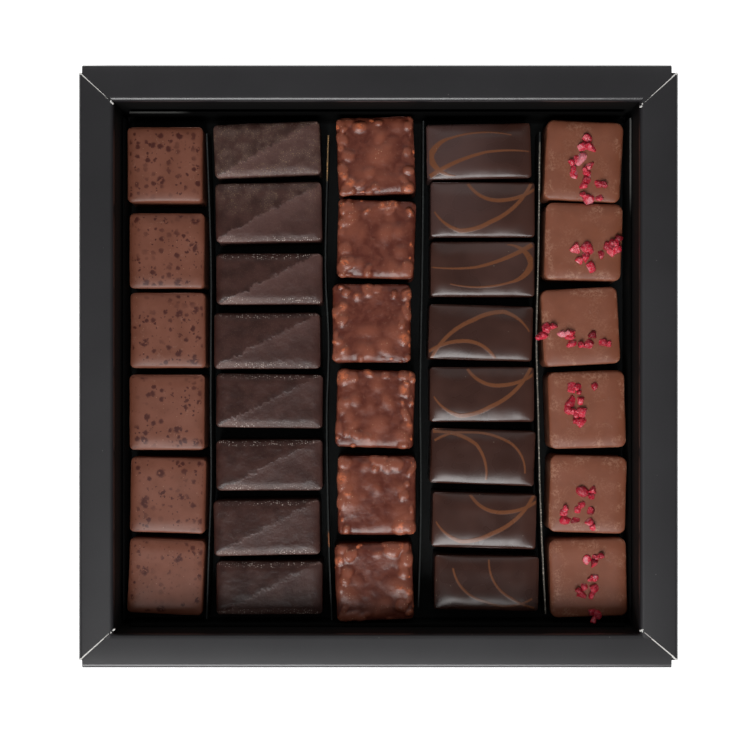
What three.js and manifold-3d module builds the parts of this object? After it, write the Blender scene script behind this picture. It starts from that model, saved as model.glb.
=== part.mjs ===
// A box of chocolate pralines: an open tray of folded black card with a wide hollow rim, a thin card
// insert, four wavy card dividers and five columns of coated pralines lying between them.
// Lengths are in millimetres. +Z is up, +Y is north, the tray's far side, and +X is east.
// The origin is the middle of the tray's underside.
import * as THREE from "three";
import { mergeVertices } from "three/addons/utils/BufferGeometryUtils.js";
import Module from "manifold-3d";

const wasm = await Module();
wasm.setup();

// The tray.
const trayWidth = 182;
const trayDepth = 183;
const trayHeight = 30;
const trayCard = 0.8;
const foldRadius = 1;
const rimWidth = { north: 11, south: 10.3, west: 10.6, east: 11.7 };
const capSkirt = 3;
const wallTop = trayHeight - 2;
const mitreSlit = 0.3;
// Each corner of the tray is tucked in by a small step: how far the north and south sides stop short
// of the west and east ones, and how far those stop short of the north and south ones.
const tuck = { west: 1.1, east: 2.1, ends: 2.1 };

// The insert, a sheet with its four edges turned up.
const insertCard = 0.5;
const insertFloor = trayCard + 0.3;
const flangeTop = 16;
const flangeFaces = { north: 79.1, south: -80.4, west: -79.2, east: 78.4 };
const flangeCornerGap = 2;

// The dividers: how far east each one is at even steps from its north end to its south end.
const dividerCard = 0.6;
const dividerTop = 14.5;
const dividerSamples = 22;
const dividers = [
  { ends: [73, -78.9], east: [-53.7, -52.9, -52.3, -52.4, -52.45, -52.3, -53, -53.7] },
  { ends: [72.5, -79.3], east: [-15.7, -16.3, -16.6, -15.6, -16.2, -16, -15.5, -14.6] },
  { ends: [76.9, -75.3], east: [14.1, 14, 13.8, 13.4, 13.1, 13.3, 13.2, 12.5] },
  { ends: [73.5, -77.4], east: [50.5, 50.25, 49.95, 49.4, 49.95, 50.4, 51.2, 52.3] },
];

// The pralines. A square is cut 22.5 mm wide and a bar 30 mm by 15 mm, and the coating adds the rest.
const restingHeight = insertFloor + insertCard + 0.3;
const squareSide = { speckled: 23.9, berry: 24.5 };
const swirlBar = { width: 33, depth: 17.6 };
const grainedBarWidth = 33.7;
const pralineHeight = 14;
const coatCornerRadius = 1.5;
const coatEdge = { across: 1.4, deep: 1 };
const coatCornerSegments = 3;
const coatEdgeSegments = 3;
const footSpread = 0.2;
const footHeight = 6;
const coatLean = 0.15;
const coatTilt = 0.25;

// The five columns, west to east. Each praline lies a little off its even place and a little turned,
// as hand packing leaves it: shifts in millimetres, turns in degrees anticlockwise.
const columns = {
  speckled_square: {
    east: -66.1,
    north: 62.7,
    pitch: 25.64,
    shiftEast: [-0.5, 0, 0.3, 0.1, 0.3, -0.2],
    shiftNorth: [0.4, -0.8, 0, 0, -0.3, -0.1],
    turn: [0, 0, 0, 0, -1.5, -2.5],
  },
  grained_bar: {
    east: -34.5,
    north: 68.1,
    pitch: 19.6,
    shiftEast: [-0.3, 0.2, 0.4, -0.3, 0.4, 0.4, -0.4, 0.4],
    shiftNorth: [-0.1, -0.2, -1.4, -1.2, -0.4, -0.9, -0.8, -0.1],
    turn: [2.2, 1, 0, 0, -0.8, 0, 0.8, 0],
    depth: [17.2, 19, 16.4, 18, 17.2, 16.4, 18, 17.3],
  },
  nut_square: {
    east: -1.1,
    north: 65.7,
    pitch: 26.6,
    shiftEast: [0.3, 0.5, -0.9, 0.1, 0.6, -0.2],
    shiftNorth: [0.3, 0.7, 1.2, 0.9, 0.3, 0],
    turn: [2.2, -1.8, 0, -2, 0, 2],
  },
  swirl_bar: {
    east: 32.6,
    north: 67.3,
    pitch: 19.28,
    shiftEast: [-1.2, 0, 0, -0.6, -0.2, 0, 0.5, 1.2],
    shiftNorth: [0.1, 1.1, 1.8, 1.2, 1.2, 0.9, 0.3, 0],
    turn: [1.2, 0, 0, -1.5, 0, -2, -1.5, -1],
  },
  berry_square: {
    east: 64.8,
    north: 64.5,
    pitch: 26.04,
    shiftEast: [-0.7, -0.8, -1.6, 0.4, 0.6, 0.8],
    shiftNorth: [0.3, 0.6, 0.1, 0.2, -0.2, 0],
    turn: [-3, -1.5, 3, 1.8, -1.5, 1.5],
  },
};

// A grained bar's top has a step along its diagonal, and the half towards the south-east is lower.
const stepDepth = 0.4;

// Chopped nuts under a nut square's coating raise lumps on it.
const nutSquareSide = 25.4;
const nutSquareGrid = { across: 8, up: 4 };
const nutEdgeRadius = 1.8;
const lumpCount = 26;
const lumpReach = { least: 1.8, more: 1.6 };
const lumpHeight = { least: 0.3, more: 0.7 };

// Pieces of freeze-dried berry lie in two or three clusters on each berry square. Each cluster fills
// an oval: its centre, its half lengths, the turn of its long way and the number of pieces.
const berryPieceRadius = { least: 0.9, more: 0.5 };
const berryClusters = [
  [
    { centre: [0, 1.8], half: [4.8, 3.8], turn: -70, pieces: 7 },
    { centre: [2.2, -7], half: [4.8, 2.4], turn: -10, pieces: 6 },
    { centre: [4, -11.6], half: [2.6, 0.4], turn: 10, pieces: 2 },
  ],
  [
    { centre: [0.6, -4.2], half: [4.8, 3], turn: -60, pieces: 6 },
    { centre: [9, -1.4], half: [4.4, 2.6], turn: 60, pieces: 5 },
  ],
  [
    { centre: [-10.9, -1], half: [1.6, 0.4], turn: 80, pieces: 2 },
    { centre: [-1.4, -3.2], half: [6.2, 3.6], turn: -15, pieces: 7 },
    { centre: [7.8, -5.4], half: [1.6, 0.4], turn: -30, pieces: 2 },
  ],
  [
    { centre: [-1.6, 6.8], half: [6.8, 0.8], turn: 6, pieces: 3 },
    { centre: [-3.2, 0], half: [4.8, 2.4], turn: -70, pieces: 6 },
  ],
  [
    { centre: [0.4, 1.2], half: [3.4, 1.4], turn: -20, pieces: 3 },
    { centre: [-2.6, -6.4], half: [6, 3.4], turn: 0, pieces: 7 },
  ],
  [
    { centre: [1, 3.6], half: [3.6, 2.6], turn: -60, pieces: 4 },
    { centre: [-1, -4], half: [3, 2.4], turn: 0, pieces: 3 },
    { centre: [0.6, -11.3], half: [1.8, 0.4], turn: -30, pieces: 2 },
  ],
];
const goldenAngle = Math.PI * (3 - Math.sqrt(5));

const colours = {
  tray: 0x35353a,
  insert: 0x151515,
  divider: 0x232323,
  speckled_square: 0x75483a,
  grained_bar: 0x43302c,
  nut_square: 0x6f4334,
  swirl_bar: 0x3d2c2a,
  berry_square: 0x7a4a3b,
};

function seededRandom(seed) {
  let state = seed;
  return () => {
    state = (state * 1664525 + 1013904223) % 4294967296;
    return state / 4294967296;
  };
}

function solidOf(geometry) {
  const bare = geometry.clone();
  bare.deleteAttribute("normal");
  bare.deleteAttribute("uv");
  const merged = mergeVertices(bare, 1e-4);
  return new wasm.Manifold(
    new wasm.Mesh({
      numProp: 3,
      vertProperties: merged.attributes.position.array,
      triVerts: new Uint32Array(merged.index.array),
    }),
  );
}

function geometryOf(solid) {
  const { vertProperties, triVerts } = solid.getMesh();
  const geometry = new THREE.BufferGeometry();
  geometry.setAttribute("position", new THREE.BufferAttribute(vertProperties, 3));
  geometry.setIndex(new THREE.BufferAttribute(triVerts, 1));
  geometry.computeVertexNormals();
  return geometry;
}

// Moves each vertex of a geometry to where the given function puts it.
function reshape(geometry, move) {
  const position = geometry.attributes.position;
  const point = new THREE.Vector3();
  for (let i = 0; i < position.count; i++) {
    move(point.fromBufferAttribute(position, i));
    position.setXYZ(i, point.x, point.y, point.z);
  }
  return geometry;
}

function roundedRectangle(width, depth, radius) {
  const x = width / 2 - radius;
  const y = depth / 2 - radius;
  const shape = new THREE.Shape();
  shape.absarc(x, y, radius, 0, Math.PI / 2);
  shape.absarc(-x, y, radius, Math.PI / 2, Math.PI);
  shape.absarc(-x, -y, radius, Math.PI, 1.5 * Math.PI);
  shape.absarc(x, -y, radius, 1.5 * Math.PI, 2 * Math.PI);
  return shape;
}

function rectangle(west, east, south, north) {
  return new THREE.Path([
    new THREE.Vector2(west, south),
    new THREE.Vector2(east, south),
    new THREE.Vector2(east, north),
    new THREE.Vector2(west, north),
  ]);
}

// A shape drawn on the ground plane, with straight upright sides between two heights.
function upright(shape, bottom, top, curveSegments = 2) {
  const options = { depth: top - bottom, bevelEnabled: false, curveSegments };
  return new THREE.ExtrudeGeometry(shape, options).translate(0, 0, bottom);
}

// A straight block between two corners.
function block(west, east, south, north, bottom, top) {
  return new THREE.BoxGeometry(east - west, north - south, top - bottom).translate(
    (west + east) / 2,
    (south + north) / 2,
    (bottom + top) / 2,
  );
}

// The rim in section: a strip of card with both its edges folded down round the fold radius.
function capSection(width) {
  const foldHeight = trayHeight - foldRadius;
  const skirtFoot = trayHeight - capSkirt;
  const innerRadius = foldRadius - trayCard;
  const section = new THREE.Shape();
  section.moveTo(0, skirtFoot);
  section.lineTo(0, foldHeight);
  section.absarc(foldRadius, foldHeight, foldRadius, Math.PI, Math.PI / 2, true);
  section.absarc(width - foldRadius, foldHeight, foldRadius, Math.PI / 2, 0, true);
  section.lineTo(width, skirtFoot);
  section.lineTo(width - trayCard, skirtFoot);
  section.absarc(width - foldRadius, foldHeight, innerRadius, 0, Math.PI / 2);
  section.absarc(foldRadius, foldHeight, innerRadius, Math.PI / 2, Math.PI);
  section.lineTo(trayCard, skirtFoot);
  return section;
}

// The tray's outline with its tucked corners, moved in by a distance.
function trayOutline(inset) {
  const east = trayWidth / 2 - inset;
  const north = trayDepth / 2 - inset;
  const tuckedEast = east - tuck.east;
  const tuckedWest = tuck.west - east;
  const tuckedNorth = north - tuck.ends;
  return new THREE.Shape([
    new THREE.Vector2(east, -tuckedNorth),
    new THREE.Vector2(east, tuckedNorth),
    new THREE.Vector2(tuckedEast, tuckedNorth),
    new THREE.Vector2(tuckedEast, north),
    new THREE.Vector2(tuckedWest, north),
    new THREE.Vector2(tuckedWest, tuckedNorth),
    new THREE.Vector2(-east, tuckedNorth),
    new THREE.Vector2(-east, -tuckedNorth),
    new THREE.Vector2(tuckedWest, -tuckedNorth),
    new THREE.Vector2(tuckedWest, -north),
    new THREE.Vector2(tuckedEast, -north),
    new THREE.Vector2(tuckedEast, -tuckedNorth),
  ]);
}

// The rim's strip on one side, seen from above: between the mitres at its two ends, each half a slit
// away. A mitre runs from a corner of the opening to the tip of the west or east side.
function mitredOutline(from, to, along) {
  const cut = ({ tip, inner }, way) => {
    const run = tip.clone().sub(inner);
    const slit = (way * mitreSlit * run.length()) / (2 * Math.abs(run.cross(along)));
    return [0, 1.5].map((reach) =>
      inner.clone().addScaledVector(run, reach).addScaledVector(along, slit),
    );
  };
  const [fromInner, fromOuter] = cut(from, 1);
  const [toInner, toOuter] = cut(to, -1);
  return new THREE.Shape([fromOuter, toOuter, toInner, fromInner]);
}

function makeTray() {
  const east = trayWidth / 2;
  const north = trayDepth / 2;
  const opening = {
    west: rimWidth.west - east,
    east: east - rimWidth.east,
    south: rimWidth.south - north,
    north: north - rimWidth.north,
  };

  const outerWalls = trayOutline(0);
  outerWalls.holes.push(new THREE.Path(trayOutline(trayCard).getPoints()));
  const innerWalls = new THREE.Shape(
    rectangle(
      opening.west - trayCard,
      opening.east + trayCard,
      opening.south - trayCard,
      opening.north + trayCard,
    ).getPoints(),
  );
  innerWalls.holes.push(rectangle(opening.west, opening.east, opening.south, opening.north));

  // The sides run anticlockwise from the north one, each from one corner's mitre to the next.
  const mitre = (side, end) => ({
    tip: new THREE.Vector2(side * east, end * (north - tuck.ends)),
    inner: new THREE.Vector2(
      side > 0 ? opening.east : opening.west,
      end > 0 ? opening.north : opening.south,
    ),
  });
  const mitres = [mitre(1, 1), mitre(-1, 1), mitre(-1, -1), mitre(1, -1)];
  const sides = [
    { width: rimWidth.north, from: [east - tuck.east, north], to: [tuck.west - east, north] },
    { width: rimWidth.west, from: [-east, north], to: [-east, -north] },
    { width: rimWidth.south, from: [tuck.west - east, -north], to: [east - tuck.east, -north] },
    { width: rimWidth.east, from: [east, -north], to: [east, north] },
  ];

  let tray = solidOf(upright(trayOutline(0), 0, trayCard))
    .add(solidOf(upright(outerWalls, 0, wallTop)))
    .add(solidOf(upright(innerWalls, 0, wallTop)));
  sides.forEach(({ width, from, to }, side) => {
    const start = new THREE.Vector2(...from);
    const run = new THREE.Vector2(...to).sub(start);
    const length = run.length();
    run.normalize();
    const up = new THREE.Vector3(0, 0, 1);
    const along = new THREE.Vector3(run.x, run.y, 0);
    const place = new THREE.Matrix4()
      .makeBasis(up.clone().cross(along), up, along)
      .setPosition(start.x, start.y, 0);
    const cap = new THREE.ExtrudeGeometry(capSection(width), {
      depth: length,
      bevelEnabled: false,
      curveSegments: 2,
    }).applyMatrix4(place);
    const outline = mitredOutline(mitres[side], mitres[(side + 1) % mitres.length], run);
    tray = tray.add(solidOf(cap).intersect(solidOf(upright(outline, 0, trayHeight + 1))));
  });
  return geometryOf(tray);
}

function makeInsert() {
  const { north, south, west, east } = flangeFaces;
  const outer = {
    north: north + insertCard,
    south: south - insertCard,
    west: west - insertCard,
    east: east + insertCard,
  };
  const floorTop = insertFloor + insertCard;
  const above = flangeTop + 1;
  const cut = flangeCornerGap;
  const folded = block(outer.west, outer.east, outer.south, outer.north, insertFloor, flangeTop);
  let insert = solidOf(folded).subtract(
    solidOf(block(west, east, south, north, floorTop, above)),
  );
  // The corners are cut out, so each edge folds up by itself.
  for (const x of [outer.west, outer.east]) {
    for (const y of [outer.south, outer.north]) {
      insert = insert.subtract(solidOf(block(x - cut, x + cut, y - cut, y + cut, floorTop, above)));
    }
  }
  return geometryOf(insert);
}

// A strip of card on edge that follows a smooth wavy line.
function makeDivider({ ends: [northEnd, southEnd], east }) {
  const step = (southEnd - northEnd) / (east.length - 1);
  const line = new THREE.SplineCurve(
    east.map((x, i) => new THREE.Vector2(x, northEnd + step * i)),
  );
  const sides = [dividerCard / 2, -dividerCard / 2].map((offset) =>
    Array.from({ length: dividerSamples + 1 }, (_, i) => {
      const t = i / dividerSamples;
      const tangent = line.getTangent(t);
      const normal = new THREE.Vector2(-tangent.y, tangent.x);
      return line.getPoint(t).addScaledVector(normal, offset);
    }),
  );
  const outline = new THREE.Shape([...sides[0], ...sides[1].reverse()]);
  return upright(outline, restingHeight, dividerTop);
}

// A coated praline standing on z = 0: a rounded block with a rolled top edge, whose coating has run
// out a little at the foot. Its top leans and tilts by a small random amount.
function coatedBlock(width, depth, height, random) {
  const outline = roundedRectangle(
    width - 2 * footSpread,
    depth - 2 * footSpread,
    coatCornerRadius,
  );
  const below = 1;
  const rolled = new THREE.ExtrudeGeometry(outline, {
    depth: height - coatEdge.deep + below,
    steps: 2,
    curveSegments: coatCornerSegments / 2,
    bevelSegments: coatEdgeSegments,
    bevelThickness: coatEdge.deep,
    bevelSize: coatEdge.across,
    bevelOffset: -coatEdge.across,
  }).translate(0, 0, -below);
  const underneath = solidOf(block(-width, width, -depth, depth, -height, 0));
  const lean = [random() - 0.5, random() - 0.5].map((r) => 2 * coatLean * r);
  const tilt = [random() - 0.5, random() - 0.5].map((r) => 2 * coatTilt * r);
  return reshape(geometryOf(solidOf(rolled).subtract(underneath)), (point) => {
    const rise = point.z / height;
    const spread = footSpread * Math.max(0, 1 - point.z / footHeight) ** 2;
    point.z += rise * (tilt[0] * (point.x / width) + tilt[1] * (point.y / depth));
    point.x += rise * lean[0] + (2 * spread * point.x) / width;
    point.y += rise * lean[1] + (2 * spread * point.y) / depth;
  });
}

function makeSpeckledSquare(index, random) {
  const side = squareSide.speckled + 0.3 * (random() - 0.5);
  return coatedBlock(side, side, pralineHeight + 0.6 * (random() - 0.5), random);
}

function makeSwirlBar(index, random) {
  const { width, depth } = swirlBar;
  return coatedBlock(width, depth, pralineHeight + 0.5 * (random() - 0.5), random);
}

function makeGrainedBar(index, random) {
  const width = grainedBarWidth;
  const depth = columns.grained_bar.depth[index];
  const height = pralineHeight + 0.5 * (random() - 0.5);
  const lowerHalf = new THREE.Shape([
    new THREE.Vector2(-width / 2, -depth / 2),
    new THREE.Vector2(width, -depth),
    new THREE.Vector2(width / 2, depth / 2),
  ]);
  const step = upright(lowerHalf, height - stepDepth, height + 1);
  return geometryOf(
    solidOf(coatedBlock(width, depth, height, random)).subtract(solidOf(step)),
  );
}

// A nut square is a block with round edges whose top and sides bulge over each nut.
function makeNutSquare(index, random) {
  const half = nutSquareSide / 2 - lumpHeight.least;
  const height = pralineHeight - lumpHeight.least;
  const flat = half - nutEdgeRadius;
  const flatTop = height - nutEdgeRadius;
  const lumps = Array.from({ length: lumpCount }, (_, i) => {
    const radius = half * Math.sqrt((i + 0.5) / lumpCount);
    const angle = i * goldenAngle + 6 * random();
    const edge = Math.max(Math.abs(Math.cos(angle)), Math.abs(Math.sin(angle)));
    return {
      centre: new THREE.Vector3(
        (radius * Math.cos(angle)) / edge,
        (radius * Math.sin(angle)) / edge,
        radius > 0.85 * half ? height * (0.3 + 0.7 * random()) : height,
      ),
      reach: lumpReach.least + lumpReach.more * random(),
      rise: lumpHeight.least + lumpHeight.more * random(),
    };
  });
  const { across, up } = nutSquareGrid;
  const grid = new THREE.BoxGeometry(2 * half, 2 * half, height, across, across, up);
  grid.deleteAttribute("normal");
  grid.deleteAttribute("uv");
  const core = new THREE.Vector3();
  const outward = new THREE.Vector3();
  return reshape(mergeVertices(grid.translate(0, 0, height / 2)), (point) => {
    core.set(
      THREE.MathUtils.clamp(point.x, -flat, flat),
      THREE.MathUtils.clamp(point.y, -flat, flat),
      Math.min(point.z, flatTop),
    );
    if (point.z === 0) {
      return;
    }
    outward.subVectors(point, core).normalize();
    point.copy(core).addScaledVector(outward, nutEdgeRadius);
    const bulge = lumps.reduce((most, { centre, reach, rise }) => {
      const near = Math.exp(-point.distanceToSquared(centre) / reach ** 2);
      return Math.max(most, near * rise * (0.4 + 0.6 * Math.abs(outward.z)));
    }, 0);
    point.addScaledVector(outward, bulge);
  });
}

// One angular piece of berry, half sunk in the coating at its centre.
function makeBerryPiece(radius, random) {
  const lump = new THREE.IcosahedronGeometry(radius, 0);
  lump.deleteAttribute("normal");
  lump.deleteAttribute("uv");
  const stretch = 1.15 + 0.45 * random();
  const flatten = 0.75 + 0.2 * random();
  return reshape(mergeVertices(lump), (point) => {
    point.multiplyScalar(0.85 + 0.3 * random());
    point.x *= stretch;
    point.z *= flatten;
  }).rotateZ(Math.PI * random());
}

function makeBerrySquare(index, random) {
  const side = squareSide.berry + 0.3 * (random() - 0.5);
  const height = pralineHeight + 0.4 * (random() - 0.5);
  let square = solidOf(coatedBlock(side, side, height, random));
  for (const { centre, half, turn, pieces } of berryClusters[index]) {
    const start = 2 * Math.PI * random();
    for (let i = 0; i < pieces; i++) {
      const out = Math.sqrt((i + 0.5) / pieces);
      const angle = start + i * goldenAngle;
      const place = new THREE.Vector2(
        half[0] * out * Math.cos(angle) + 0.8 * (random() - 0.5),
        half[1] * out * Math.sin(angle) + 0.8 * (random() - 0.5),
      ).rotateAround(new THREE.Vector2(), THREE.MathUtils.degToRad(turn));
      const radius = berryPieceRadius.least + berryPieceRadius.more * random();
      const piece = makeBerryPiece(radius, random).translate(
        centre[0] + place.x,
        centre[1] + place.y,
        height + 0.25 * radius,
      );
      square = square.add(solidOf(piece));
    }
  }
  return geometryOf(square);
}

function addMesh(group, name, geometry, kind, roughness) {
  const material = new THREE.MeshStandardMaterial({
    color: colours[kind],
    roughness,
    metalness: 0,
  });
  const mesh = new THREE.Mesh(geometry, material);
  mesh.name = name;
  group.add(mesh);
  return mesh;
}

const box = new THREE.Group();
addMesh(box, "tray", makeTray(), "tray", 0.6);
addMesh(box, "insert", makeInsert(), "insert", 0.65);
dividers.forEach((divider, i) => {
  addMesh(box, `divider_${i + 1}`, makeDivider(divider), "divider", 0.7);
});

const makers = {
  speckled_square: makeSpeckledSquare,
  grained_bar: makeGrainedBar,
  nut_square: makeNutSquare,
  swirl_bar: makeSwirlBar,
  berry_square: makeBerrySquare,
};
Object.entries(columns).forEach(([kind, column], number) => {
  const pralines = new THREE.Group();
  pralines.position.set(column.east, column.north, restingHeight);
  column.turn.forEach((turn, i) => {
    const random = seededRandom(1000 * (number + 1) + 17 * i);
    const geometry = makers[kind](i, random);
    const praline = addMesh(pralines, `${kind}_${i + 1}`, geometry, kind, 0.4);
    praline.position.set(column.shiftEast[i], column.shiftNorth[i] - column.pitch * i, 0);
    praline.rotation.z = THREE.MathUtils.degToRad(turn);
  });
  box.add(pralines);
});

export default box;
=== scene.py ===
"""A box of chocolate pralines: an open tray of black card that holds a thin card insert, four dividers and
five columns of coated pralines. Each mesh is made in millimetres and put in its place in metres."""

import cmath
import math
import random

import bmesh
import bpy
from mathutils import Matrix, Vector, noise


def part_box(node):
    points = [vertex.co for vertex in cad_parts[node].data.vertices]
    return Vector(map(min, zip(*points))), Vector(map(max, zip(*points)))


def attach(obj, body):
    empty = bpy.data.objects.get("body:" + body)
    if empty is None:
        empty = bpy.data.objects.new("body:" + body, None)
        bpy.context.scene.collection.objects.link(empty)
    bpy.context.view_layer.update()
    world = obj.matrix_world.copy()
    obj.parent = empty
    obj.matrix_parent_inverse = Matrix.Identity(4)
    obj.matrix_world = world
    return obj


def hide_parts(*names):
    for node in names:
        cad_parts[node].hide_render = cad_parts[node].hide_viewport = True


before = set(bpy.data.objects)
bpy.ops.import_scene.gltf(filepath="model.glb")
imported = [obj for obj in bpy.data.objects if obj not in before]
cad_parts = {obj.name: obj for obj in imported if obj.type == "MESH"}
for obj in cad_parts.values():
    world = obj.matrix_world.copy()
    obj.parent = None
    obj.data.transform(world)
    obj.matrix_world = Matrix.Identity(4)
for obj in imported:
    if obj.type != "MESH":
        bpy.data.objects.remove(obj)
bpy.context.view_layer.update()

# The tray is folded from glossy black card with a white core: a base and four hollow walls with a wide
# rim. The rim's strips meet in mitres over glued tabs, where the core shows as a thin white line. The
# ends of the north and south sides are tucked in by a small step.
MM = 0.001
CARD = 0.8
OUTER_FOLD, INNER_FOLD = 1.2, 1.4
UNDER_RIM = 1.5
SKIRT = 2.0
FOLD_SEGMENTS = 8
RIM_NORTH, RIM_SOUTH, RIM_WEST, RIM_EAST = 11.0, 10.3, 10.6, 11.7
TUCK_WEST, TUCK_EAST, TUCK_ENDS = 1.1, 2.1, 2.1
GAP_AT_OPENING, GAP_AT_TIP = 0.05, 0.2
TAB_HALF_WIDTH = 0.3
TAB_TOP, TAB_UNDERSIDE = -0.12, -0.45
TAB_FROM_OPENING, TAB_FROM_TIP = 0.9, 0.5
CHIP_HALF_WIDTH, CHIP_HEIGHT, CHIP_ROUNDING = 0.28, 1.05, 0.22
CHIP_FOOT = 1.1
GLOSSY, CORE, INSIDE = 0, 1, 2


class Flow:
    """A number, vector or colour on its way through a material. Arithmetic on it adds Math nodes."""

    def __init__(self, finish, socket):
        self.finish = finish
        self.socket = socket

    def math(self, operation, *values):
        return self.finish.node("ShaderNodeMath", {"operation": operation}, dict(enumerate(values)))

    def __add__(self, other):
        return self.math("ADD", self, other)

    def __sub__(self, other):
        return self.math("SUBTRACT", self, other)

    def __rsub__(self, other):
        return self.math("SUBTRACT", other, self)

    def __mul__(self, other):
        return self.math("MULTIPLY", self, other)

    def __truediv__(self, other):
        return self.math("DIVIDE", self, other)

    def __pow__(self, other):
        return self.math("POWER", self, other)

    def __abs__(self):
        return self.math("ABSOLUTE", self)

    __radd__ = __add__
    __rmul__ = __mul__

    def most(self, other):
        return self.math("MAXIMUM", self, other)

    def rising(self, low, high):
        """0 below low and 1 above high, with a soft step between. It falls where low is over high."""
        return self.finish.node(
            "ShaderNodeMapRange",
            {"interpolation_type": "SMOOTHSTEP"},
            {"Value": self, "From Min": low, "From Max": high},
        )

    def within(self, low, high, soft):
        """1 between low and high, with soft ends."""
        return self.rising(low - soft, low + soft) * self.rising(high + soft, high - soft)


class Finish:
    """A material of the box, with one method that adds any node to it."""

    def __init__(self, name, **constants):
        self.material = bpy.data.materials.new(name)
        self.material.use_nodes = True
        self.tree = self.material.node_tree
        self.shader = self.tree.nodes["Principled BSDF"]
        for socket, value in constants.items():
            self.shader.inputs[socket.replace("_", " ")].default_value = value
        place = self.node("ShaderNodeTexCoord", output="Object")
        self.place = self.node(
            "ShaderNodeVectorMath", {"operation": "SCALE"}, {0: place, "Scale": 1 / MM}
        )

    def node(self, kind, settings=None, values=None, output=0):
        made = self.tree.nodes.new(kind)
        for name, value in (settings or {}).items():
            setattr(made, name, value)
        for name, value in (values or {}).items():
            if isinstance(value, Flow):
                self.tree.links.new(value.socket, made.inputs[name])
            else:
                made.inputs[name].default_value = value
        return Flow(self, made.outputs[output])

    def axis(self, vector, name):
        return self.node("ShaderNodeSeparateXYZ", values={0: vector}, output=name)

    def facing_up(self, low, high):
        normal = self.node("ShaderNodeNewGeometry", output="Normal")
        return self.axis(normal, "Z").rising(low, high)

    def mottle(self, size, detail=2.0, roughness=0.5, distortion=0.0):
        """Cloudy noise from 0 to 1 with patches of about the given size in millimetres."""
        values = {"Vector": self.place, "Scale": 1 / size, "Detail": detail}
        values.update({"Roughness": roughness, "Distortion": distortion})
        return self.node("ShaderNodeTexNoise", values=values)

    def wander(self, reach, size):
        """The place, seen from above, pushed about by noise so that round things turn uneven."""
        push = self.node(
            "ShaderNodeTexNoise", values={"Vector": self.place, "Scale": 1 / size}, output="Color"
        )
        return self.node(
            "ShaderNodeVectorMath", {"operation": "MULTIPLY_ADD"},
            {0: push, 1: (2 * reach, 2 * reach, 0), 2: self.place},
        )

    def specks(self, spacing, share, radius, place=None, softness=0.35):
        """Round specks seen from above, on a share of the cells of the given spacing: 1 in a speck."""
        settings = {"voronoi_dimensions": "2D"}
        values = {"Vector": place or self.place, "Scale": 1 / spacing}
        distance = self.node("ShaderNodeTexVoronoi", settings, values)
        lot = self.node("ShaderNodeTexVoronoi", settings, values, output="Color")
        lot = self.node("ShaderNodeSeparateColor", values={0: lot}, output="Red")
        size = (share - lot).most(0) / share * (0.7 * radius / spacing) + 0.3 * radius / spacing
        return (distance / size).rising(1, 1 - softness) * lot.rising(share, share - 0.01)

    def blend(self, share, first, second):
        """A colour that goes from the first at a share of 0 to the second at a share of 1."""
        values = {0: share, 6: first, 7: second}
        return self.node("ShaderNodeMix", {"data_type": "RGBA"}, values, output=2)

    def wear(self, **flows):
        """Feeds the shader's sockets, and a height in millimetres through a bump to its normal."""
        height = flows.pop("height", None)
        if height is not None:
            flows["Normal"] = self.node(
                "ShaderNodeBump", values={"Strength": 1.0, "Distance": MM, "Height": height}
            )
        for socket, flow in flows.items():
            self.tree.links.new(flow.socket, self.shader.inputs[socket.replace("_", " ")])
        return self


def srgb(red, green, blue):
    """A colour as it is seen, each part from 0 to 255, as a linear one with full alpha."""
    parts = [part / 255 for part in (red, green, blue)]
    linear = [p / 12.92 if p <= 0.04045 else ((p + 0.055) / 1.055) ** 2.4 for p in parts]
    return (*linear, 1.0)


def join(parts):
    """One bmesh that holds several, which are used up."""
    whole = bmesh.new()
    for part in parts:
        carrier = bpy.data.meshes.new("carrier")
        part.to_mesh(carrier)
        part.free()
        whole.from_mesh(carrier)
        bpy.data.meshes.remove(carrier)
    return whole


def finish_piece(bm, name, finishes, replaces=(), place=Matrix(), sharp=None):
    """Makes a piece of the scene of a bmesh in millimetres, scaled to metres in its mesh."""
    bmesh.ops.transform(bm, matrix=Matrix.Scale(MM, 4) @ place, verts=bm.verts)
    for face in bm.faces:
        face.smooth = True
    mesh = bpy.data.meshes.new(name)
    bm.to_mesh(mesh)
    bm.free()
    for finish in finishes:
        mesh.materials.append(finish.material)
    if sharp is not None:
        mesh.set_sharp_from_angle(angle=math.radians(sharp))
    piece = bpy.data.objects.new(name, mesh)
    bpy.context.scene.collection.objects.link(piece)
    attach(piece, "root")
    if replaces:
        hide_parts(*replaces)


def millimetres(node):
    """The lowest and highest corners of a solid, in millimetres."""
    return [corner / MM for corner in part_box(node)]


def block(corner, opposite, finish=GLOSSY, rounding=0.0, place=Matrix()):
    """A straight piece of card between two opposite corners, with its edges rounded if asked."""
    bm = bmesh.new()
    bmesh.ops.create_cube(bm, size=1)
    middle = (Vector(corner) + Vector(opposite)) / 2
    size = [abs(part) for part in Vector(opposite) - Vector(corner)]
    shape = Matrix.Translation(middle) @ Matrix.Diagonal((*size, 1))
    bmesh.ops.transform(bm, matrix=shape, verts=bm.verts)
    if rounding:
        bmesh.ops.bevel(
            bm, geom=bm.edges[:], offset=rounding, segments=3, profile=0.5, affect="EDGES",
            material=-1,
        )
    for face in bm.faces:
        face.material_index = finish
    bmesh.ops.transform(bm, matrix=place, verts=bm.verts)
    return bm


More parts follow.
